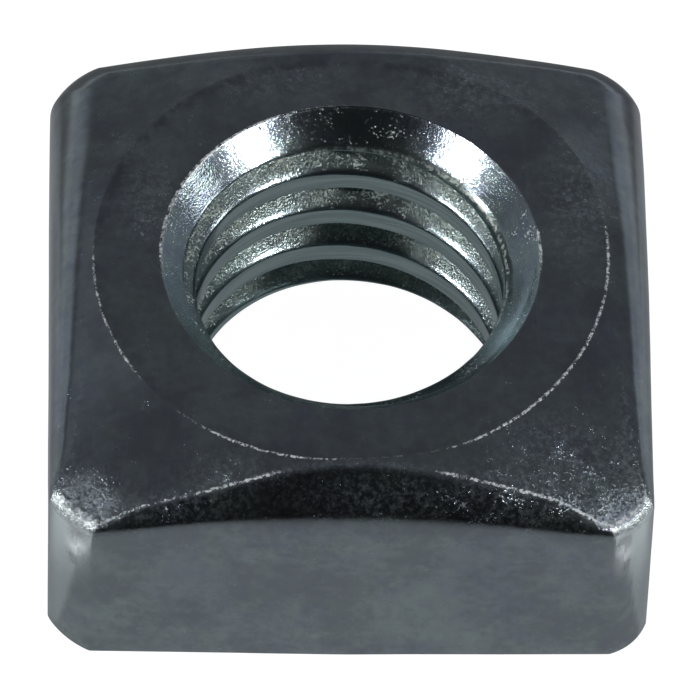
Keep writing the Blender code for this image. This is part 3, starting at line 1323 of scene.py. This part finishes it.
@dataclass(frozen=True)
class BoreZinc:
    """The plated bore: grain and specks on flanks and countersinks, smooth crests laid paler as a
    painted reflection, and a bluer countersink patch laid brighter as painted light.

    The drawn scale makes the turned marks: their noise changes fast with height only.
    """

    violet: Colour = (0.29, 0.34, 0.41)
    teal: Colour = (0.36, 0.45, 0.45)
    flank: Colour = (0.35, 0.43, 0.40)
    # The crests are paler than the rest: a painted reflection of the pale floor seen through the
    # hole
    crest: Colour = (0.51, 0.63, 0.62)
    crest_shade: Colour = (0.38, 0.48, 0.48)
    speck: Colour = (0.90, 0.92, 0.84)
    # Bright blue of the countersink patch: a tint, and painted light
    blue: Colour = (0.70, 0.92, 1.00)
    roughness: float = 0.26
    sink_roughness: float = 0.17
    drawn_scale: Place = (0.7, 0.7, 14.0)

    def material(self) -> bpy.types.Material:
        """Builds the material.

        Returns:
            The material.
        """
        material, tree, shader = blank_material("bore_zinc")
        place = tree.place()
        crest, groove, blue_tint_and_painted_light = (tree.mask(name) for name in ("crest", "groove", "blue_tint_and_painted_light"))
        clouds = effect(tree, Effect.CLOUDS, Scale=1.3, Fine_Scale=6.0, Contrast=1.4)
        beads = effect(tree, Effect.BEADS, Scale=12.0, Detail=3.0, Roughness=0.7, Low=0.42)
        drawn = tree.noise(tree.mapped(place, self.drawn_scale), 1.0, 3.0, 0.6)
        # The pale line round the countersink: worn, and partly a painted highlight
        bare_and_painted_glint = tree.times(tree.mask("rim"), tree.total(0.16, (0.8, beads)))
        open_grain = tree.total(1.0, (-0.92, crest))
        density = tree.total(tree.times(open_grain, 0.46), (0.22, groove))
        specks = effect(tree, Effect.SPECKS, Scale=22.0, Density=density)
        streaked = tree.layers(self.crest_shade, (tree.ramp(drawn, 0.42, 0.62), self.crest))
        colour = tree.layers(
            self.violet,
            (clouds, self.teal),
            (tree.times(groove, 0.7), self.flank),
            # Painted light: the crests are laid paler
            (tree.times(crest, 0.9), streaked),
            # Bluer tint, and painted light: a brighter patch on the countersink
            (blue_tint_and_painted_light, self.blue),
            (tree.times(specks, 0.6), self.speck),
            (bare_and_painted_glint, self.speck),
        )
        metal = tree.total(
            1.0, (-0.85, bare_and_painted_glint), (-0.05, groove), (-0.25, blue_tint_and_painted_light), (-0.35, specks), clamp=True
        )
        more = self.roughness - self.sink_roughness
        rough = tree.total(self.sink_roughness, (more, groove), (0.2, specks), (0.35, bare_and_painted_glint))
        height = tree.total(
            effect(tree, Effect.GRAIN, Scale=12.0, Soft=0.8, Coarse=0.22, Fine=0.45),
            (0.5, specks),
            (tree.times(groove, 0.85), tree.noise(place, 26.0, 2.0, 0.6)),
        )
        height = tree.times(height, open_grain, tree.total(0.85, (0.25, groove)))
        tree.dress(shader, colour, metal, rough, tree.total(height, (0.35, drawn)))
        return material


@dataclass(frozen=True)
class Lamp:
    """A soft square lamp that faces the nut.

    The direction points from the nut to the lamp. The width and height are angles in degrees, and
    the glow is the brightness of its face, where 1 is white.
    """

    name: str
    direction: Place
    width: float
    height: float
    glow: float
    distance: float = 0.6

    def build(self) -> bpy.types.Object:
        """Makes the area light: its power is 4 times its area times its glow.

        Returns:
            The lamp.
        """
        data = bpy.data.lights.new(self.name, "AREA")
        data.shape = "RECTANGLE"
        data.size = 2 * self.distance * math.tan(math.radians(self.width) / 2)
        data.size_y = 2 * self.distance * math.tan(math.radians(self.height) / 2)
        data.energy = 4 * data.size * data.size_y * self.glow
        lamp = placed(self.name, data)
        towards = Vector(self.direction).normalized()
        lamp.location = towards * self.distance
        lamp.rotation_mode = "QUATERNION"
        lamp.rotation_quaternion = towards.to_track_quat("Z", "Y")
        lamp.visible_camera = False
        return lamp


@dataclass(frozen=True)
class Floor:
    """The pale floor. The camera sees it near white, and the metal sees a dimmer glow in it that is
    a painted reflection.

    Each range says where along an axis a change of the painted glow starts and ends: it fades far in
    front of the nut, where the floor's colour also darkens as painted shade, rises as painted light
    beside its front corners and beside its flanks, and fades as a painted shadow close behind it.
    """

    size: float = 6.0
    colour: Colour = (0.18, 0.18, 0.18)
    painted_far_shade: Colour = (0.02, 0.02, 0.02)
    white: float = 0.985
    painted_reflection_glow: float = 0.205
    tint: Colour = (0.99, 1.04, 1.09)
    front: Range = (-0.035, -0.004)
    corners: Range = (0.0056, 0.0076)
    corners_front: Range = (-0.0030, -0.0040)
    flanks: Range = (0.008, 0.014)
    flanks_gain: float = 1.2
    behind: Range = (0.006, 0.010)
    behind_width: Range = (0.022, 0.010)
    painted_shadow_loss: float = 0.8

    def material(self) -> bpy.types.Material:
        """Builds the floor's material.

        Returns:
            The material.
        """
        material, tree, shader = blank_material("pale_floor")
        path = tree.add("ShaderNodeLightPath").outputs
        camera = path["Is Camera Ray"]
        mirrored = tree.math("MAXIMUM", path["Is Glossy Ray"], path["Is Transmission Ray"])
        across, ahead, _ = tree.axes(tree.add("ShaderNodeTexCoord").outputs["Object"])
        aside = tree.math("ABSOLUTE", across)
        near = tree.ramp(ahead, *self.front)
        corners = tree.times(
            tree.ramp(aside, *self.corners), tree.ramp(ahead, *self.corners_front)
        )
        behind = tree.times(tree.ramp(ahead, *self.behind), tree.ramp(aside, *self.behind_width))
        # Painted reflection: a glow that only mirrored rays see, with painted light beside the front
        # corners and flanks and a painted shadow close behind the nut
        glow = tree.times(
            mirrored,
            self.painted_reflection_glow,
            near,
            tree.total(1.0, (1.0, corners)),
            tree.ramp(aside, *self.flanks, 1.0, self.flanks_gain),
            tree.total(1.0, (-self.painted_shadow_loss, behind)),
        )
        tree.feed_all(
            shader,
            Roughness=0.9,
            Specular_IOR_Level=0.0,
            # Painted shade: the colour darkens far in front of the nut, which the metal mirrors
            Base_Color=tree.layers(self.painted_far_shade, (near, self.colour)),
            Emission_Color=tree.layers(self.tint, (camera, (1.0, 1.0, 1.0))),
            Emission_Strength=tree.total(glow, (self.white, camera)),
        )
        return material

    def build(self) -> bpy.types.Object:
        """Makes the floor.

        Returns:
            The floor.
        """
        half = self.size / 2
        mesh = bpy.data.meshes.new("floor")
        corners = [(-half, -half, 0), (half, -half, 0), (half, half, 0), (-half, half, 0)]
        mesh.from_pydata(corners, [], [(0, 1, 2, 3)])
        mesh.materials.append(self.material())
        piece = placed("floor", mesh)
        return piece


@dataclass(frozen=True)
class Room:
    """A dim room: black in front of the nut, soft grey above and behind, paler at its sides.

    The glows are brightnesses, where 1 is white. Each range says where a change starts and ends, as
    one part of the direction in which the room is seen.
    """

    tint: tuple[float, float, float, float] = (0.95, 1.0, 1.08, 1.0)
    front: float = 0.014
    back: float = 0.098
    sides: float = 0.28
    low_gain: float = 0.025
    left_gain: float = 0.06
    ahead: Range = (-0.36, -0.13)
    behind: Range = (0.05, 0.3)
    low: Range = (0.36, 0.20)
    aside: Range = (0.35, 0.6)
    left: Range = (-0.30, -0.55)
    left_height: Range = (0.34, 0.50)

    def build(self) -> None:
        """Makes the world, whose glow is eased by the direction in which it is seen."""
        world = bpy.data.worlds.new("room")
        bpy.context.scene.world = world
        world.use_nodes = True
        tree = Tree(world.node_tree)
        across, ahead, up = tree.axes(tree.add("ShaderNodeTexCoord").outputs["Generated"])
        behind = tree.ramp(ahead, *self.behind)
        low = tree.times(tree.ramp(up, *self.low), behind)
        sides = tree.times(tree.ramp(tree.math("ABSOLUTE", across), *self.aside), low)
        left = tree.times(tree.ramp(across, *self.left), tree.ramp(up, *self.left_height), behind)
        glow = tree.total(
            tree.ramp(ahead, *self.ahead, self.front, self.back),
            (self.sides - self.back, sides),
            (self.low_gain, low),
            (self.left_gain, left),
        )
        tree.feed_all(world.node_tree.nodes["Background"], Color=self.tint, Strength=glow)


@dataclass(frozen=True)
class PhotoView:
    """The photograph's viewpoint, as angles, a distance and the picture's centre."""

    elevation: float = math.radians(53.4275)
    azimuth: float = math.radians(2.6162)
    roll: float = math.radians(2.4999)
    distance: float = 0.229865
    focal_pixels: float = 13617.2
    image_size: float = 700.0
    sensor: float = 36.0
    centre_right: float = 0.0000988
    centre_up: float = 0.0010785

    def matrix(self) -> Matrix:
        """The camera's matrix: its axes are the picture's right and up and the way back.

        Returns:
            The matrix.
        """
        e, a, r = self.elevation, self.azimuth, self.roll
        ahead = Vector((math.sin(a) * math.cos(e), math.cos(a) * math.cos(e), -math.sin(e)))
        level = Vector((math.cos(a), -math.sin(a), 0.0))
        upright = level.cross(ahead)
        right = level * math.cos(r) + upright * math.sin(r)
        up = upright * math.cos(r) - level * math.sin(r)
        place = -ahead * self.distance + right * self.centre_right + up * self.centre_up
        axes = Matrix((right, up, -ahead)).transposed().to_4x4()
        return Matrix.Translation(place) @ axes

    def build(self) -> bpy.types.Object:
        """Makes the camera: high in front of the nut, far off, with a long lens.

        Returns:
            The camera.
        """
        data = bpy.data.cameras.new("camera")
        data.sensor_width = self.sensor
        data.lens = self.focal_pixels * self.sensor / self.image_size
        data.clip_start = 0.01
        data.clip_end = 20.0
        camera = placed("camera", data)
        camera.matrix_world = self.matrix()
        bpy.context.scene.camera = camera
        return camera


@dataclass
class Studio:
    """The floor, the dim room, the lamps and the camera."""

    lamps: tuple[Lamp, ...] = (
        Lamp("lamp_right_front", (0.713, -0.422, 0.56), 4.8, 6.2, 92.0),
        Lamp("lamp_left_front", (-0.762, -0.337, 0.553), 4.8, 6.2, 95.0),
        Lamp("lamp_right", (0.962, 0.02, 0.25), 6.0, 12.0, 12.0),
        Lamp("lamp_left", (-0.974, -0.12, 0.16), 7.0, 14.0, 14.0),
    )

    def build(self) -> None:
        """Sets up the whole studio."""
        LOG.info("stage %s", Floor().build().name)
        Room().build()
        for lamp in self.lamps:
            LOG.info("lamp %s", lamp.build().name)
        LOG.info("view %s", PhotoView().build().name)
        bpy.context.scene.view_settings.view_transform = "Standard"


def main() -> None:
    logging.basicConfig(level=logging.INFO, format="%(name)s: %(message)s")
    nut = SquareNut().build()
    LOG.info("piece %s: %d faces", nut.name, len(nut.data.polygons))
    Studio().build()
    bpy.context.view_layer.update()


if __name__ == "__main__":
    main()
